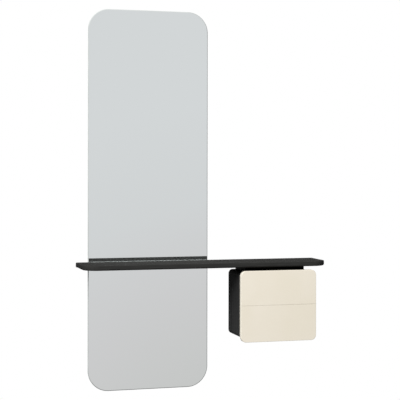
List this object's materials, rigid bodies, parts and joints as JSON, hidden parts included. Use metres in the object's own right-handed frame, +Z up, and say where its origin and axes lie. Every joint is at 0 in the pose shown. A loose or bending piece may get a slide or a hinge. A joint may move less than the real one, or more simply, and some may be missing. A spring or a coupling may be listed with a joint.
{
  "type": "wall mirror with shelf and hanging drawers",
  "caption": "Tall round-cornered wall mirror crossed by a dark rounded shelf, with a dark box of cream-fronted push-in drawers hung from a block under the shelf's right end.",
  "frame": {"origin": "on the wall's face, at the centre of the screw row of the rail that the mirror hangs on; X=0 is the mirror's centre line", "axes": "+X right along the wall seen from the room, +Y into the wall, +Z up"},
  "size_m": [0.914, 0.1904, 1.4],
  "materials": {
    "mirror_glass": "silvered float glass with polished edges",
    "backing": "black-painted fibreboard",
    "hanging_rail": "satin, extruded",
    "screw_steel": "zinc plated",
    "rubber_pads": "matte",
    "dark_shelf": "dark grey lacquer over wood board, softly rounded edges",
    "black_steel": "black powder coat",
    "black_plastic": "matte",
    "black_block": "matte black paint",
    "dark_box": "very dark grey stain, faint upright grain",
    "beech": "raw beech",
    "runner_steel": "zinc plated",
    "cream_front": "warm cream satin lacquer",
    "drawer_wood": "clear-lacquered birch plywood",
    "drawer_bottom": "clear-lacquered birch plywood",
    "clear_bumper": "soft silicone",
    "cage_plastic": "greased nylon",
    "ball_steel": "polished, greased"
  },
  "bodies": {
    "root": {"mirror_glass": "mirror_glass", "backing_board": "backing", "panel_rail": "hanging_rail", "panel_rail_screws": "screw_steel", "wall_rail": "hanging_rail", "mirror_pads": "rubber_pads", "shelf_board": "dark_shelf", "tie_strip": "black_steel", "left_shelf_rail": "black_steel", "right_shelf_rail": "black_steel", "rail_end_caps": "black_plastic", "shelf_lock_screws": "screw_steel", "hanger_block": "black_block", "hanger_screws": "screw_steel", "carcass_left_side": "dark_box", "carcass_right_side": "dark_box", "carcass_top": "dark_box", "carcass_bottom": "dark_box", "carcass_back": "dark_box", "carcass_dowels": "beech", "box_standoffs": "black_plastic", "channel_screws": "screw_steel", "upper_left_channel": "runner_steel", "upper_right_channel": "runner_steel", "lower_left_channel": "runner_steel", "lower_right_channel": "runner_steel"},
    "upper_drawer": {"upper_front": "cream_front", "upper_inner_front": "drawer_wood", "upper_left_side": "drawer_wood", "upper_right_side": "drawer_wood", "upper_back": "drawer_wood", "upper_bottom": "drawer_bottom", "upper_dowels": "beech", "upper_front_screws": "screw_steel", "upper_bumpers": "clear_bumper", "upper_left_slider": "runner_steel", "upper_right_slider": "runner_steel", "upper_slider_screws": "screw_steel"},
    "lower_drawer": {"lower_front": "cream_front", "lower_inner_front": "drawer_wood", "lower_left_side": "drawer_wood", "lower_right_side": "drawer_wood", "lower_back": "drawer_wood", "lower_bottom": "drawer_bottom", "lower_dowels": "beech", "lower_front_screws": "screw_steel", "lower_bumpers": "clear_bumper", "lower_left_slider": "runner_steel", "lower_right_slider": "runner_steel", "lower_slider_screws": "screw_steel"},
    "upper_cages": {"upper_left_cage": "cage_plastic", "upper_right_cage": "cage_plastic", "upper_balls": "ball_steel"},
    "lower_cages": {"lower_left_cage": "cage_plastic", "lower_right_cage": "cage_plastic", "lower_balls": "ball_steel"}
  },
  "joints": [
    {"name": "upper_drawer_slide", "type": "slide", "parent": "root", "child": "upper_drawer", "axis": [0, -1, 0], "range_m": [0, 0.09]},
    {"name": "lower_drawer_slide", "type": "slide", "parent": "root", "child": "lower_drawer", "axis": [0, -1, 0], "range_m": [0, 0.09]},
    {"name": "upper_cage_slide", "type": "slide", "parent": "root", "child": "upper_cages", "axis": [0, -1, 0], "range_m": [0, 0.045]},
    {"name": "lower_cage_slide", "type": "slide", "parent": "root", "child": "lower_cages", "axis": [0, -1, 0], "range_m": [0, 0.045]}
  ],
  "couplings": [
    {"joint": "upper_cage_slide", "follows": "upper_drawer_slide", "ratio": 0.5},
    {"joint": "lower_cage_slide", "follows": "lower_drawer_slide", "ratio": 0.5}
  ]
}
